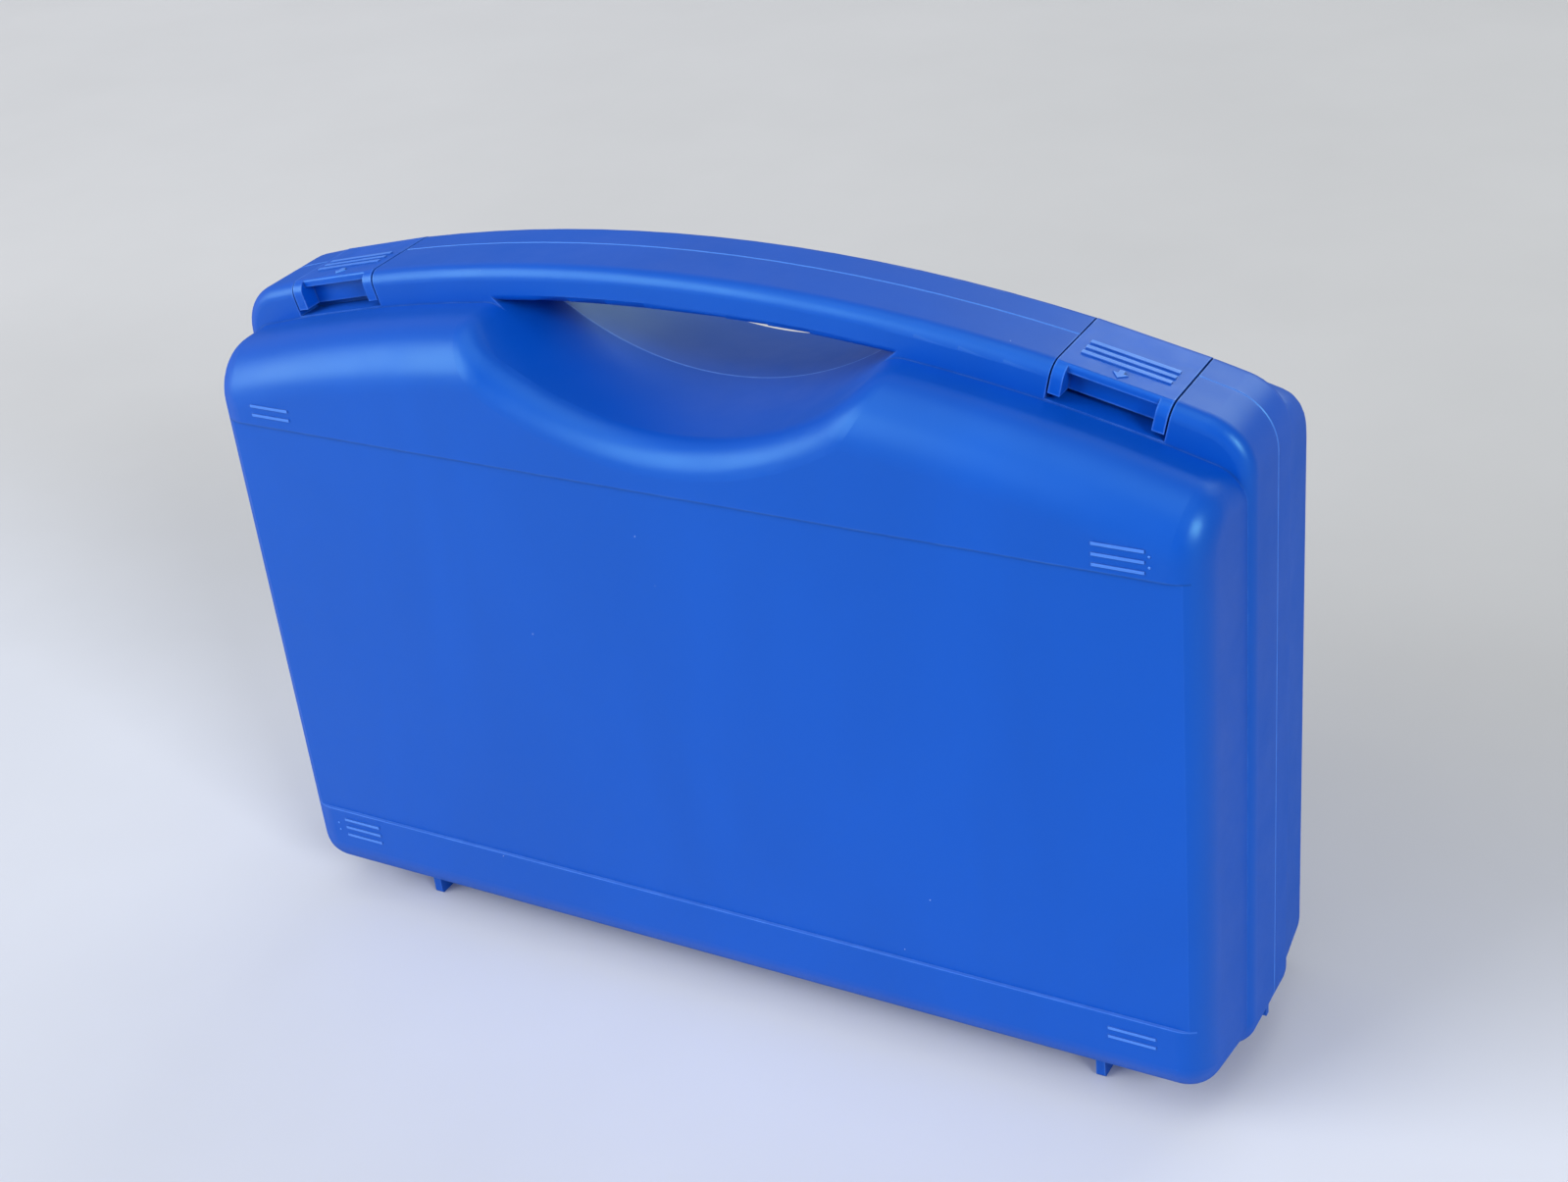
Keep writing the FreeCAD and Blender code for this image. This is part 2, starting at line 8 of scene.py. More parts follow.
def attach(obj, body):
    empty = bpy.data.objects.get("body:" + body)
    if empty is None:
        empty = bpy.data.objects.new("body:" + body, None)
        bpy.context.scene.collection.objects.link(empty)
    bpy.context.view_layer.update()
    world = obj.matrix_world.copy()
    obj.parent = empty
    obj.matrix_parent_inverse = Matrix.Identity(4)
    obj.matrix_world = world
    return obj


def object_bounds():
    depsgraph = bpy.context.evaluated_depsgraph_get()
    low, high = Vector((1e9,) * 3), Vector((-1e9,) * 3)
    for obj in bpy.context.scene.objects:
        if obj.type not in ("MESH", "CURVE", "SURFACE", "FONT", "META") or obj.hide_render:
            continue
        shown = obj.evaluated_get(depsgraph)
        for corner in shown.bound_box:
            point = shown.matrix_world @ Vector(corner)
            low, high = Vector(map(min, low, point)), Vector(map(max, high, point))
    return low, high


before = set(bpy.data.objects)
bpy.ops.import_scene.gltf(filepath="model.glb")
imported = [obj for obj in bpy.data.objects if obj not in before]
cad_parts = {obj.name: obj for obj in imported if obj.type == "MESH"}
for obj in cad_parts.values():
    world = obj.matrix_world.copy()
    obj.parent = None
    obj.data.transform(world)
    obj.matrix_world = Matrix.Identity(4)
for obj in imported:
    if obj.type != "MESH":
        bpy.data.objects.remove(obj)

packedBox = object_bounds()
caseMiddle = (packedBox[0] + packedBox[1]) / 2
latchTilt = math.radians(12.988)    # how far the arch leans where the latches sit
scene = bpy.context.scene
print("frame loaded:", ", ".join(sorted(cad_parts)))


# Small helpers

def hexColour(text):  # sRGB hex to the linear colour that sockets take
    channels = [int(text[i:i + 2], 16) / 255 for i in (1, 3, 5)]
    linear = [c / 12.92 if c <= 0.04045 else ((c + 0.055) / 1.055) ** 2.4 for c in channels]
    return (*linear, 1.0)


def mm(length):
    return length / 1000.0


def addNode(tree, kind, settings=None, values=None, links=None):
    node = tree.nodes.new(kind)
    for name, value in (settings or {}).items():
        setattr(node, name, value)
    for name, value in (values or {}).items():
        node.inputs[name].default_value = value
    for name, socket in (links or {}).items():
        tree.links.new(socket, node.inputs[name])
    return node


def newMaterial(name):
    material = bpy.data.materials.new(name)
    material.use_nodes = True
    material.node_tree.nodes.clear()
    return material, material.node_tree


def ride(piece, body):
    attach(piece, body)
    return piece


# Camera: the photograph's own place and turn, worked out from the case's outline
cameraView = {
    "place": (0.35517, -0.55223, 0.50479),
    "heading": 31.909,      # degrees from +Y towards -X
    "lookDown": 29.663,
    "roll": -6.337,
    "lens": 54.466,         # mm on a 36 mm wide sensor
}


def makeCamera(view):
    heading, down, roll = (math.radians(view[k]) for k in ("heading", "lookDown", "roll"))
    forward = Vector((-math.sin(heading) * math.cos(down), math.cos(heading) * math.cos(down), -math.sin(down)))
    level = Vector((math.cos(heading), math.sin(heading), 0.0))
    above = level.cross(forward)
    right = math.cos(roll) * level + math.sin(roll) * above
    up = -math.sin(roll) * level + math.cos(roll) * above
    data = bpy.data.cameras.new("photoCamera")
    data.sensor_fit = "HORIZONTAL"
    data.sensor_width = 36.0
    data.lens = view["lens"]
    data.clip_start = 0.01
    data.clip_end = 50.0
    camera = bpy.data.objects.new("photoCamera", data)
    scene.collection.objects.link(camera)
    turn = Matrix((right, up, -forward)).transposed().to_4x4()
    camera.matrix_world = Matrix.Translation(Vector(view["place"])) @ turn
    scene.camera = camera
    return camera


makeCamera(cameraView)
print("camera placed")


# Room: plain pale floor, pale surroundings and soft studio lamps
room = {
    "floorSize": 24.0,
    "floorNear": "#C6CBD6",     # painted board, faintly lavender
    "floorShadedFarLeft": "#C3C5C9",  # painted shade: greyer and darker behind the case
    # painted shadow of the case: darkest behind it and to its right
    "floorShadedFarRight": "#B4B6B8",
    "fadeStart": -0.02,
    "fadeEnd": 0.26,
    "fadeLeft": -0.80,
    "fadeRight": 0.20,
    "mottleSize": mm(260),
    "floorRoughness": 0.55,
    "sweepStart": 1.4,          # metres from the case, where the floor starts to pass into the surroundings
    "sweepEnd": 3.4,
    "surround": "#C3C6CA",      # what the camera and gloss see beyond the floor
    "surroundLight": 0.24,      # how strongly it lights the case
}
lamps = {   # heading in degrees from -Y towards +X, height above the horizon, away in metres from the case's middle
    "window": {"heading": -46.0, "height": 26.0, "away": 6.8, "size": (5.4, 5.2), "power": 480.0, "tint": "#FFFFFF"},
    "softbox": {"heading": 60.0, "height": 27.0, "away": 6.0, "size": (2.0, 1.8), "power": 232.0, "tint": "#FFFFFF"},
    "ceiling": {"heading": -20.0, "height": 76.0, "away": 4.5, "size": (3.6, 3.6), "power": 64.0, "tint": "#FFFFFF"},
    "rear": {"heading": 168.0, "height": 34.0, "away": 6.0, "size": (4.0, 3.0), "power": 95.0, "tint": "#FFFFFF"},
}


def seenRay(tree):  # 1 for what the camera sees directly, in gloss or through something clear
    ray = addNode(tree, "ShaderNodeLightPath")
    seen = addNode(tree, "ShaderNodeMath", {"operation": "ADD", "use_clamp": True}, None,
                   {0: ray.outputs["Is Camera Ray"], 1: ray.outputs["Is Glossy Ray"]})
    return addNode(tree, "ShaderNodeMath", {"operation": "ADD", "use_clamp": True}, None,
                   {0: seen.outputs[0], 1: ray.outputs["Is Transmission Ray"]}).outputs[0]


def makeFloorMaterial(look):
    # Emulsion-painted board: matt, near white, with the faint clouding of a rolled coat.
    material, tree = newMaterial("paintedBoard")
    place = addNode(tree, "ShaderNodeTexCoord").outputs["Object"]
    across = addNode(tree, "ShaderNodeSeparateXYZ", None, None, {0: place})
    # painted shade: the board fades to darker colours behind the case, most of all to its right
    fade = addNode(tree, "ShaderNodeMapRange", {"interpolation_type": "SMOOTHSTEP"},
                   {"From Min": look["fadeStart"], "From Max": look["fadeEnd"]}, {"Value": across.outputs["Y"]})
    side = addNode(tree, "ShaderNodeMapRange", None,
                   {"From Min": look["fadeLeft"], "From Max": look["fadeRight"]}, {"Value": across.outputs["X"]})
    far = addNode(tree, "ShaderNodeMix", {"data_type": "RGBA"},
                  {6: hexColour(look["floorShadedFarLeft"]), 7: hexColour(look["floorShadedFarRight"])}, {0: side.outputs["Result"]})
    cloud = addNode(tree, "ShaderNodeTexNoise", None,
                    {"Scale": 1 / look["mottleSize"], "Detail": 4.0, "Roughness": 0.6}, {"Vector": place})
    clouded = addNode(tree, "ShaderNodeMapRange", None,
                      {"From Min": 0.3, "From Max": 0.7, "To Min": 0.96, "To Max": 1.02}, {"Value": cloud.outputs["Fac"]})
    colour = addNode(tree, "ShaderNodeMix", {"data_type": "RGBA"},
                     {6: hexColour(look["floorNear"])}, {0: fade.outputs["Result"], 7: far.outputs[2]})
    shaded = addNode(tree, "ShaderNodeVectorMath", {"operation": "SCALE"}, None,
                     {0: colour.outputs[2], "Scale": clouded.outputs["Result"]})
    shader = addNode(tree, "ShaderNodeBsdfPrincipled", None,
                     {"Roughness": look["floorRoughness"], "Specular IOR Level": 0.3},
                     {"Base Color": shaded.outputs["Vector"]})
    # far out the floor runs into the surroundings without an edge, like a studio sweep
    reach = addNode(tree, "ShaderNodeVectorMath", {"operation": "LENGTH"}, None, {0: place})
    out = addNode(tree, "ShaderNodeMapRange", {"interpolation_type": "SMOOTHSTEP"},
                  {"From Min": look["sweepStart"], "From Max": look["sweepEnd"]}, {"Value": reach.outputs["Value"]})
    share = addNode(tree, "ShaderNodeMath", {"operation": "MULTIPLY"}, None,
                    {0: out.outputs["Result"], 1: seenRay(tree)})
    sweep = addNode(tree, "ShaderNodeEmission", None, {"Color": hexColour(look["surround"]), "Strength": 1.0})
    mix = addNode(tree, "ShaderNodeMixShader", None, None,
                  {0: share.outputs[0], 1: shader.outputs["BSDF"], 2: sweep.outputs["Emission"]})
    addNode(tree, "ShaderNodeOutputMaterial", None, None, {"Surface": mix.outputs[0]})
    return material


def makeFloor(look):
    half = look["floorSize"] / 2
    mesh = bpy.data.meshes.new("floor")
    mesh.from_pydata([(-half, -half, 0), (half, -half, 0), (half, half, 0), (-half, half, 0)], [], [(0, 1, 2, 3)])
    mesh.materials.append(makeFloorMaterial(look))
    floor = bpy.data.objects.new("floor", mesh)
    scene.collection.objects.link(floor)


def makeSurround(look):
    world = bpy.data.worlds.new("surround")
    world.use_nodes = True
    tree = world.node_tree
    tree.nodes.clear()
    colour = hexColour(look["surround"])
    light = addNode(tree, "ShaderNodeBackground", None, {"Color": (1, 1, 1, 1), "Strength": look["surroundLight"]})
    view = addNode(tree, "ShaderNodeBackground", None, {"Color": colour, "Strength": 1.0})
    mix = addNode(tree, "ShaderNodeMixShader", None, None,
                  {0: seenRay(tree), 1: light.outputs[0], 2: view.outputs[0]})
    addNode(tree, "ShaderNodeOutputWorld", None, None, {"Surface": mix.outputs[0]})
    scene.world = world


def makeLamp(name, lamp):
    data = bpy.data.lights.new(name, "AREA")
    data.shape = "RECTANGLE"
    data.size, data.size_y = lamp["size"]
    data.energy = lamp["power"]
    data.color = hexColour(lamp["tint"])[:3]
    piece = bpy.data.objects.new(name, data)
    piece.visible_camera = False
    scene.collection.objects.link(piece)
    heading, height = math.radians(lamp["heading"]), math.radians(lamp["height"])
    outwards = Vector((math.sin(heading) * math.cos(height), -math.cos(heading) * math.cos(height), math.sin(height)))
    place = caseMiddle + outwards * lamp["away"]
    piece.matrix_world = Matrix.Translation(place) @ (-outwards).to_track_quat("-Z", "Y").to_matrix().to_4x4()


makeFloor(room)
makeSurround(room)
for lampName, lamp in lamps.items():
    makeLamp(lampName + "Lamp", lamp)
scene.view_settings.view_transform = "Standard"
print("floor, surround and lamps made")


# Injection-moulded polypropylene copolymer, coloured through with masterbatch, from a fine spark-eroded cavity.
# The eye gets a satin blue with soft wide highlights, a barely visible grain, slow waves where thick and thin
# walls cooled at different speeds, corners rubbed smoother and given a painted highlight, and painted shade in inner
# corners.
shellLook = {
    "name": "mouldedPolypropyleneShell",
    "pigment": "#0045AE",
    "pigmentDeep": "#0042A8",
    "creaseShade": "#04307E",        # painted shade that darkens inner corners and the sunk field's upper step
    # painted highlight colour for edges, crests, the lower step and the parting line, also standing for rubbed wear
    "rubbedHighlight": "#5E93EC",
    "dust": "#E6ECF8",
    "ior": 1.49,
    "gloss": 0.53,
    "glossTint": "#9CF4FB",     # part of the mirror share comes back through a skin of pigment
    "roughness": 0.39,
    "grazingRoughness": 0.30,   # more where the grain is seen edge on and hides its own glints
    "roughnessSpread": 0.05,
    "flowSize": mm(55),         # slow colour streaks of the melt front
    "grainSize": mm(0.7),       # real sparks leave about 0.2 mm; drawn coarser so that it shows
    "grainHeight": mm(0.006),
    "waveSize": mm(28),         # sink and cooling waves
    "waveHeight": mm(0.015),
    "scuffSize": mm(9),
    "edgeRadius": mm(0.9),
    "rubHighlightAmount": 0.35,
    "dustSpacing": mm(15),
    "dustSize": mm(0.16),
    "creaseShadeReach": mm(1.3),
    "creaseShadeAmount": 0.6,
    "crests": [                 # what rises further than this along its own direction is a raised line or ridge, whose crest gets a painted highlight
        {"along": (0.0, -1.0, 0.0), "from": mm(46.62)},
        {"along": (0.0, 1.0, 0.0), "from": mm(43.52)},
    ],
    "crestHighlightAmount": 0.45,
    "bands": [                  # painted shadow on the sunk field's upper step, painted highlight on its lower step, and a paler line along the parting line
        {"along": (0.0, 0.0, 1.0), "at": mm(190.0), "half": mm(0.3), "tone": "creaseShade", "amount": 0.55,
         "outside": [((0.0, -1.0, 0.0), mm(44.6)), ((0.0, 1.0, 0.0), mm(41.5))]},
        {"along": (0.0, 0.0, 1.0), "at": mm(38.8), "half": mm(0.3), "tone": "rubbedHighlight", "amount": 0.25,
         "outside": [((0.0, -1.0, 0.0), mm(44.6)), ((0.0, 1.0, 0.0), mm(41.5))]},
        {"along": (0.0, 1.0, 0.0), "at": 0.0, "half": mm(0.35), "tone": "rubbedHighlight", "amount": 0.35, "outside": []},
    ],
}
latchLook = dict(
    shellLook,
    name="mouldedPolypropyleneLatch",
    pigment="#0048B4",
    pigmentDeep="#0045AD",
    roughness=0.35,
    flowSize=mm(14),
    waveSize=mm(11),
    waveHeight=mm(0.008),
    rubHighlightAmount=0.45,
    crests=[                    # the grip ridges, square to the arch where the latches sit; their crests get a painted highlight
        {"along": (math.sin(latchTilt), 0.0, math.cos(latchTilt)), "from": mm(256.20)},
        {"along": (-math.sin(latchTilt), 0.0, math.cos(latchTilt)), "from": mm(256.20)},
    ],
    crestHighlightAmount=0.45,
    bands=[],
)


def makePolypropylene(look):
    material, tree = newMaterial(look["name"])
    place = addNode(tree, "ShaderNodeTexCoord").outputs["Object"]
    # colour: two shades of the same pigment along the melt's flow
    stretched = addNode(tree, "ShaderNodeMapping", None, {"Scale": (1.0, 1.0, 0.35)}, {"Vector": place})
    flow = addNode(tree, "ShaderNodeTexNoise", None,
                   {"Scale": 1 / look["flowSize"], "Detail": 3.0, "Roughness": 0.5, "Distortion": 0.6},
                   {"Vector": stretched.outputs["Vector"]})
    flowShare = addNode(tree, "ShaderNodeMapRange", None, {"From Min": 0.35, "From Max": 0.65}, {"Value": flow.outputs["Fac"]})
    pigment = addNode(tree, "ShaderNodeMix", {"data_type": "RGBA"},
                      {6: hexColour(look["pigmentDeep"]), 7: hexColour(look["pigment"])}, {0: flowShare.outputs["Result"]})
    # rubbed edges with a painted highlight: paler where a rounded normal leaves the true one, broken up by scuffs
    softNormal = addNode(tree, "ShaderNodeBevel", {"samples": 6}, {"Radius": look["edgeRadius"]})
    trueNormal = addNode(tree, "ShaderNodeNewGeometry").outputs["Normal"]
    turned = addNode(tree, "ShaderNodeVectorMath", {"operation": "DOT_PRODUCT"}, None,
                     {0: softNormal.outputs["Normal"], 1: trueNormal})
    edge = addNode(tree, "ShaderNodeMapRange", None, {"From Min": 0.995, "From Max": 0.90}, {"Value": turned.outputs["Value"]})
    scuff = addNode(tree, "ShaderNodeTexNoise", None,
                    {"Scale": 1 / look["scuffSize"], "Detail": 6.0, "Roughness": 0.65}, {"Vector": place})
    scuffShare = addNode(tree, "ShaderNodeMapRange", None,
                         {"From Min": 0.42, "From Max": 0.62, "To Min": 0.35}, {"Value": scuff.outputs["Fac"]})
    rubAndHighlight = addNode(tree, "ShaderNodeMath", {"operation": "MULTIPLY"}, None,
                  {0: edge.outputs["Result"], 1: scuffShare.outputs["Result"]})
    rubHighlightMix = addNode(tree, "ShaderNodeMath", {"operation": "MULTIPLY"}, {1: look["rubHighlightAmount"]}, {0: rubAndHighlight.outputs[0]})
    rubbedHighlight = addNode(tree, "ShaderNodeMix", {"data_type": "RGBA"}, {7: hexColour(look["rubbedHighlight"])},
                     {0: rubHighlightMix.outputs[0], 6: pigment.outputs[2]})
    # crests of the raised lines and ridges: a painted highlight, also standing for wear from handling
    raised = []
    for rise in look["crests"]:
        height = addNode(tree, "ShaderNodeVectorMath", {"operation": "DOT_PRODUCT"}, {1: rise["along"]}, {0: place})
        raised.append(addNode(tree, "ShaderNodeMath", {"operation": "GREATER_THAN"}, {1: rise["from"]},
                              {0: height.outputs["Value"]}))
    crestHighlightMask = addNode(tree, "ShaderNodeMath", {"operation": "MAXIMUM"}, None,
                    {0: raised[0].outputs[0], 1: raised[1].outputs[0]})
    crestHighlightMix = addNode(tree, "ShaderNodeMath", {"operation": "MULTIPLY"}, {1: look["crestHighlightAmount"]}, {0: crestHighlightMask.outputs[0]})
    crestHighlighted = addNode(tree, "ShaderNodeMix", {"data_type": "RGBA"}, {7: hexColour(look["rubbedHighlight"])},
                      {0: crestHighlightMix.outputs[0], 6: rubbedHighlight.outputs[2]})
    # painted shade: inner corners darken towards this tone where ambient occlusion finds them closed in
    around = addNode(tree, "ShaderNodeAmbientOcclusion", {"samples": 8, "only_local": False}, {"Distance": look["creaseShadeReach"]})
    closed = addNode(tree, "ShaderNodeMapRange", None,
                     {"From Min": 0.88, "From Max": 0.45, "To Max": look["creaseShadeAmount"]}, {"Value": around.outputs["AO"]})
    creaseShaded = addNode(tree, "ShaderNodeMix", {"data_type": "RGBA"}, {7: hexColour(look["creaseShade"])},
                      {0: closed.outputs["Result"], 6: crestHighlighted.outputs[2]})
    # painted bands of shadow and highlight: how far a point lies along a direction, within half a width, and only on
    # the outer faces
    banded = creaseShaded
    for band in look["bands"]:
        height = addNode(tree, "ShaderNodeVectorMath", {"operation": "DOT_PRODUCT"}, {1: band["along"]}, {0: place})
        share = addNode(tree, "ShaderNodeMath", {"operation": "COMPARE"}, {1: band["at"], 2: band["half"]},
                        {0: height.outputs["Value"]})
        sides = []
        for along, limit in band["outside"]:
            rise = addNode(tree, "ShaderNodeVectorMath", {"operation": "DOT_PRODUCT"}, {1: along}, {0: place})
            sides.append(addNode(tree, "ShaderNodeMath", {"operation": "GREATER_THAN"}, {1: limit}, {0: rise.outputs["Value"]}))
        if sides:
            outer = addNode(tree, "ShaderNodeMath", {"operation": "MAXIMUM"}, None,
                            {0: sides[0].outputs[0], 1: sides[1].outputs[0]})
            share = addNode(tree, "ShaderNodeMath", {"operation": "MULTIPLY"}, None,
                            {0: share.outputs[0], 1: outer.outputs[0]})
        amount = addNode(tree, "ShaderNodeMath", {"operation": "MULTIPLY"}, {1: band["amount"]}, {0: share.outputs[0]})
        banded = addNode(tree, "ShaderNodeMix", {"data_type": "RGBA"}, {7: hexColour(look[band["tone"]])},
                         {0: amount.outputs[0], 6: banded.outputs[2]})
    # a few pale dust specks
    cell = addNode(tree, "ShaderNodeTexVoronoi", None, {"Scale": 1 / look["dustSpacing"]}, {"Vector": place})
    speck = addNode(tree, "ShaderNodeMath", {"operation": "LESS_THAN"},
                    {1: look["dustSize"] / look["dustSpacing"]}, {0: cell.outputs["Distance"]})
    coloured = addNode(tree, "ShaderNodeMix", {"data_type": "RGBA"}, {7: hexColour(look["dust"])},
                       {0: speck.outputs[0], 6: banded.outputs[2]})
    # gloss: satin, a little uneven, smoother where rubbed
    smudge = addNode(tree, "ShaderNodeTexNoise", None,
                     {"Scale": 1 / look["flowSize"] * 2.2, "Detail": 5.0, "Roughness": 0.6}, {"Vector": place})
    uneven = addNode(tree, "ShaderNodeMapRange", None,
                     {"From Min": 0.3, "From Max": 0.7, "To Min": look["roughness"] - look["roughnessSpread"],
                      "To Max": look["roughness"] + look["roughnessSpread"]}, {"Value": smudge.outputs["Fac"]})
    polished = addNode(tree, "ShaderNodeMath", {"operation": "MULTIPLY_ADD"}, {1: -0.08},
                       {0: rubAndHighlight.outputs[0], 2: uneven.outputs["Result"]})
    facing = addNode(tree, "ShaderNodeLayerWeight", None, {"Blend": 0.5})
    grazing = addNode(tree, "ShaderNodeMapRange", {"interpolation_type": "SMOOTHSTEP"},
                      {"From Min": 0.45, "From Max": 0.9, "To Max": look["grazingRoughness"]},
                      {"Value": facing.outputs["Facing"]})
    roughness = addNode(tree, "ShaderNodeMath", {"operation": "ADD"}, None,
                        {0: polished.outputs[0], 1: grazing.outputs["Result"]})
    # relief: slow cooling waves under the spark-eroded grain
    wave = addNode(tree, "ShaderNodeTexNoise", None,
                   {"Scale": 1 / look["waveSize"], "Detail": 1.0, "Roughness": 0.4}, {"Vector": place})
    waveBump = addNode(tree, "ShaderNodeBump", None, {"Strength": 1.0, "Distance": look["waveHeight"]},
                       {"Height": wave.outputs["Fac"]})
    grain = addNode(tree, "ShaderNodeTexNoise", None,
                    {"Scale": 1 / look["grainSize"], "Detail": 2.0, "Roughness": 0.6}, {"Vector": place})
    grainBump = addNode(tree, "ShaderNodeBump", None, {"Strength": 1.0, "Distance": look["grainHeight"]},
                        {"Height": grain.outputs["Fac"], "Normal": waveBump.outputs["Normal"]})
    shader = addNode(tree, "ShaderNodeBsdfPrincipled", None,
                     {"IOR": look["ior"], "Specular IOR Level": look["gloss"], "Specular Tint": hexColour(look["glossTint"])},
                     {"Base Color": coloured.outputs[2], "Roughness": roughness.outputs[0],
                      "Normal": grainBump.outputs["Normal"]})
    addNode(tree, "ShaderNodeOutputMaterial", None, None, {"Surface": shader.outputs["BSDF"]})
    return material


def dress(nodeNames, material):
    for nodeName in nodeNames:
        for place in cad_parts[nodeName].material_slots:
            place.material = material


shellPlastic = makePolypropylene(shellLook)
latchPlastic = makePolypropylene(latchLook)
dress(["lid_shell", "base_shell"], shellPlastic)
dress(["latch_left", "latch_right"], latchPlastic)
print("shells and latches coloured")


# Small raised dots and rings, each set made by one tree on a mesh of points
cornerDots = {
    "name": "cornerDots",
    "radius": mm(0.45),
    "height": mm(0.3),
    "points": [(152.8, -46.5, 197.4), (152.8, -46.5, 194.1), (-154.9, -46.5, 33.1), (-154.7, -46.5, 30.2)],
}
ejectorRings = {                # what the ends of the mould's ejector pins leave inside
    "radius": mm(4.0),
    "bead": mm(0.14),
    "columns": (-118.0, -42.0, 42.0, 118.0),
    "rows": (48.0, 112.0, 176.0),
    "insides": {"lid": -44.0, "base": 40.9},
}


def newTree(name, inputs):
    tree = bpy.data.node_groups.new(name, "GeometryNodeTree")
    tree.interface.new_socket("Geometry", in_out="OUTPUT", socket_type="NodeSocketGeometry")
    tree.interface.new_socket("Points", in_out="INPUT", socket_type="NodeSocketGeometry")
    for label, kind in inputs.items():
        tree.interface.new_socket(label, in_out="INPUT", socket_type=kind)
    return tree


def endTree(tree, given, shape):
    placed = addNode(tree, "GeometryNodeInstanceOnPoints", None, None,
                     {"Points": given.outputs["Points"], "Instance": shape})
    solid = addNode(tree, "GeometryNodeRealizeInstances", None, None, {"Geometry": placed.outputs["Instances"]})
    smooth = addNode(tree, "GeometryNodeSetShadeSmooth", None, None, {"Geometry": solid.outputs["Geometry"]})
    finished = addNode(tree, "GeometryNodeSetMaterial", None, None,
                       {"Geometry": smooth.outputs["Geometry"], "Material": given.outputs["Finish"]})
    addNode(tree, "NodeGroupOutput", None, None, {"Geometry": finished.outputs["Geometry"]})
    return tree


def makeDotTree():
    tree = newTree("lowDots", {"Dot Radius": "NodeSocketFloat", "Dot Height": "NodeSocketFloat",
                               "Finish": "NodeSocketMaterial"})
    given = addNode(tree, "NodeGroupInput")
    ball = addNode(tree, "GeometryNodeMeshUVSphere", None, {"Segments": 16, "Rings": 8},
                   {"Radius": given.outputs["Dot Radius"]})
    share = addNode(tree, "ShaderNodeMath", {"operation": "DIVIDE"}, None,
                    {0: given.outputs["Dot Height"], 1: given.outputs["Dot Radius"]})
    flat = addNode(tree, "ShaderNodeCombineXYZ", None, {"X": 1.0, "Z": 1.0}, {"Y": share.outputs[0]})
    low = addNode(tree, "GeometryNodeTransform", None, None,
                  {"Geometry": ball.outputs["Mesh"], "Scale": flat.outputs["Vector"]})
    return endTree(tree, given, low.outputs["Geometry"])


def makeRingTree():
    tree = newTree("ejectorRings", {"Ring Radius": "NodeSocketFloat", "Bead Radius": "NodeSocketFloat",
                                    "Finish": "NodeSocketMaterial"})
    given = addNode(tree, "NodeGroupInput")
    circle = addNode(tree, "GeometryNodeCurvePrimitiveCircle", None, {"Resolution": 40},
                     {"Radius": given.outputs["Ring Radius"]})
    bead = addNode(tree, "GeometryNodeCurvePrimitiveCircle", None, {"Resolution": 8},
                   {"Radius": given.outputs["Bead Radius"]})
    ring = addNode(tree, "GeometryNodeCurveToMesh", None, None,
                   {"Curve": circle.outputs["Curve"], "Profile Curve": bead.outputs["Curve"]})
    upright = addNode(tree, "GeometryNodeTransform", None, {"Rotation": (math.pi / 2, 0.0, 0.0)},
                      {"Geometry": ring.outputs["Mesh"]})
    return endTree(tree, given, upright.outputs["Geometry"])


def growOnPoints(name, points, tree, values):
    mesh = bpy.data.meshes.new(name + "Points")
    mesh.from_pydata([[mm(c) for c in point] for point in points], [], [])
    piece = bpy.data.objects.new(name, mesh)
    scene.collection.objects.link(piece)
    modifier = piece.modifiers.new("grown", "NODES")
    modifier.node_group = tree
    for item in tree.interface.items_tree:
        if item.item_type == "SOCKET" and item.in_out == "INPUT" and item.name in values:
            modifier[item.identifier] = values[item.name]
    bpy.context.view_layer.update()
    grown = bpy.data.meshes.new_from_object(piece.evaluated_get(bpy.context.evaluated_depsgraph_get()))
    piece.modifiers.clear()
    piece.data = grown
    return piece


dotValues = {"Dot Radius": cornerDots["radius"], "Dot Height": cornerDots["height"], "Finish": shellPlastic}
ride(growOnPoints(cornerDots["name"], cornerDots["points"], makeDotTree(), dotValues), "lid")
ringTree = makeRingTree()
ringValues = {"Ring Radius": ejectorRings["radius"], "Bead Radius": ejectorRings["bead"], "Finish": shellPlastic}
for body, depth in ejectorRings["insides"].items():
    spots = [(x, depth, z) for x in ejectorRings["columns"] for z in ejectorRings["rows"]]
    ride(growOnPoints(body + "EjectorRings", spots, ringTree, ringValues), body)
print("dots and ejector rings grown")


# Small raised arrow on each latch, pointing to the edge that is lifted
latchArrow = {
    "centre": (132.6, 0.0, 232.2),      # mm, on the arch above the latch's middle
    "bottom": -0.4,                     # from the arch, sunk into the plate
    "top": 0.25,
    "inset": 0.22,                      # the top is this much smaller all round
    "outline": [(-1.0, -11.4), (-1.0, -13.2), (-2.6, -13.2), (0.0, -16.2), (2.6, -13.2), (1.0, -13.2), (1.0, -11.4)],
}


def shrunk(outline, inset):
    result = []
    for i, point in enumerate(outline):
        before, here, after = Vector(outline[i - 1]), Vector(point), Vector(outline[(i + 1) % len(outline)])
        first, second = (here - before).normalized(), (after - here).normalized()
        inward = Vector((-first.y, first.x)) + Vector((-second.y, second.x))
        result.append(here + inward * inset / (1 + first.dot(second)))
    return result


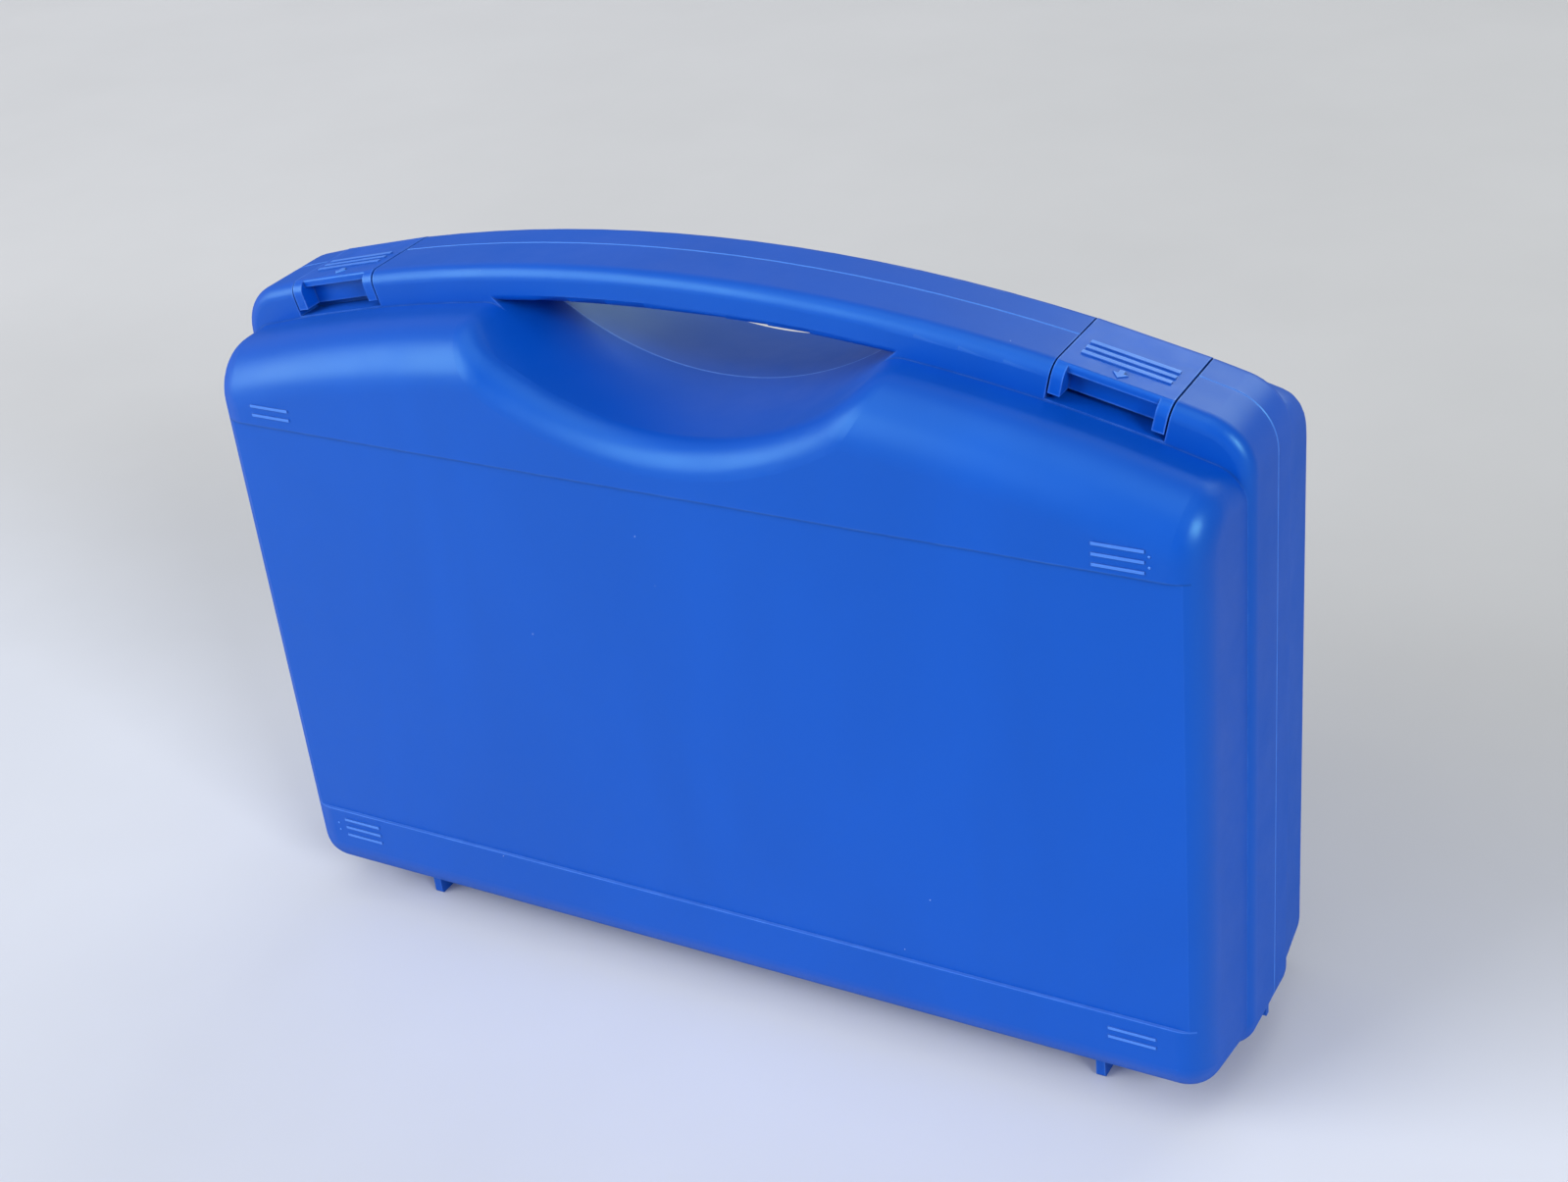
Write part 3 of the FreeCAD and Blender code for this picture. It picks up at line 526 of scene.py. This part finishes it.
def makeArrow(hand, word, look, material):
    along = Vector((math.cos(latchTilt), 0.0, -hand * math.sin(latchTilt)))
    out = Vector((hand * math.sin(latchTilt), 0.0, math.cos(latchTilt)))
    centre = Vector((hand * look["centre"][0], look["centre"][1], look["centre"][2]))
    form = bmesh.new()
    rings = []
    for level, outline in (("bottom", look["outline"]), ("top", shrunk(look["outline"], look["inset"]))):
        ring = [centre + along * x + Vector((0.0, y, 0.0)) + out * look[level] for x, y in outline]
        rings.append([form.verts.new(place / 1000.0) for place in ring])
    count = len(look["outline"])
    for i in range(count):
        j = (i + 1) % count
        form.faces.new((rings[0][i], rings[0][j], rings[1][j], rings[1][i]))
    form.faces.new(rings[1])
    form.faces.new(reversed(rings[0]))
    bmesh.ops.triangulate(form, faces=[face for face in form.faces if len(face.verts) > 4])
    bmesh.ops.recalc_face_normals(form, faces=form.faces)
    mesh = bpy.data.meshes.new(f"latchArrow_{word}")
    form.to_mesh(mesh)
    form.free()
    mesh.materials.append(material)
    piece = bpy.data.objects.new(f"latchArrow_{word}", mesh)
    scene.collection.objects.link(piece)
    return ride(piece, f"latch_{word}")


for hand, word in ((-1, "left"), (1, "right")):
    makeArrow(hand, word, latchArrow, latchPlastic)
print("latch arrows made")


# Bright cold-drawn steel wire, cut and deburred: a cool grey with fine lines along its length from the die.
wireLook = {
    "name": "drawnSteelWire",
    "bright": "#BDC0C4",
    "dull": "#A2A5A9",
    "roughness": 0.27,
    "lineSize": mm(0.12),
    "lineStretch": 40.0,
    "lineHeight": mm(0.002),
}


def makeDrawnWire(look):
    material, tree = newMaterial(look["name"])
    place = addNode(tree, "ShaderNodeTexCoord").outputs["Object"]
    along = addNode(tree, "ShaderNodeMapping", None, {"Scale": (1 / look["lineStretch"], 1.0, 1.0)}, {"Vector": place})
    lines = addNode(tree, "ShaderNodeTexNoise", None,
                    {"Scale": 1 / look["lineSize"], "Detail": 3.0, "Roughness": 0.6}, {"Vector": along.outputs["Vector"]})
    colour = addNode(tree, "ShaderNodeMix", {"data_type": "RGBA"},
                     {6: hexColour(look["dull"]), 7: hexColour(look["bright"])}, {0: lines.outputs["Fac"]})
    roughness = addNode(tree, "ShaderNodeMapRange", None,
                        {"To Min": look["roughness"] - 0.05, "To Max": look["roughness"] + 0.08},
                        {"Value": lines.outputs["Fac"]})
    bump = addNode(tree, "ShaderNodeBump", None, {"Strength": 1.0, "Distance": look["lineHeight"]},
                   {"Height": lines.outputs["Fac"]})
    shader = addNode(tree, "ShaderNodeBsdfPrincipled", None, {"Metallic": 1.0},
                     {"Base Color": colour.outputs[2], "Roughness": roughness.outputs["Result"],
                      "Normal": bump.outputs["Normal"]})
    addNode(tree, "ShaderNodeOutputMaterial", None, None, {"Surface": shader.outputs["BSDF"]})
    return material


dress(["hinge_pin_left", "hinge_pin_right", "latch_pin_left", "latch_pin_right"], makeDrawnWire(wireLook))
print("pins coloured")
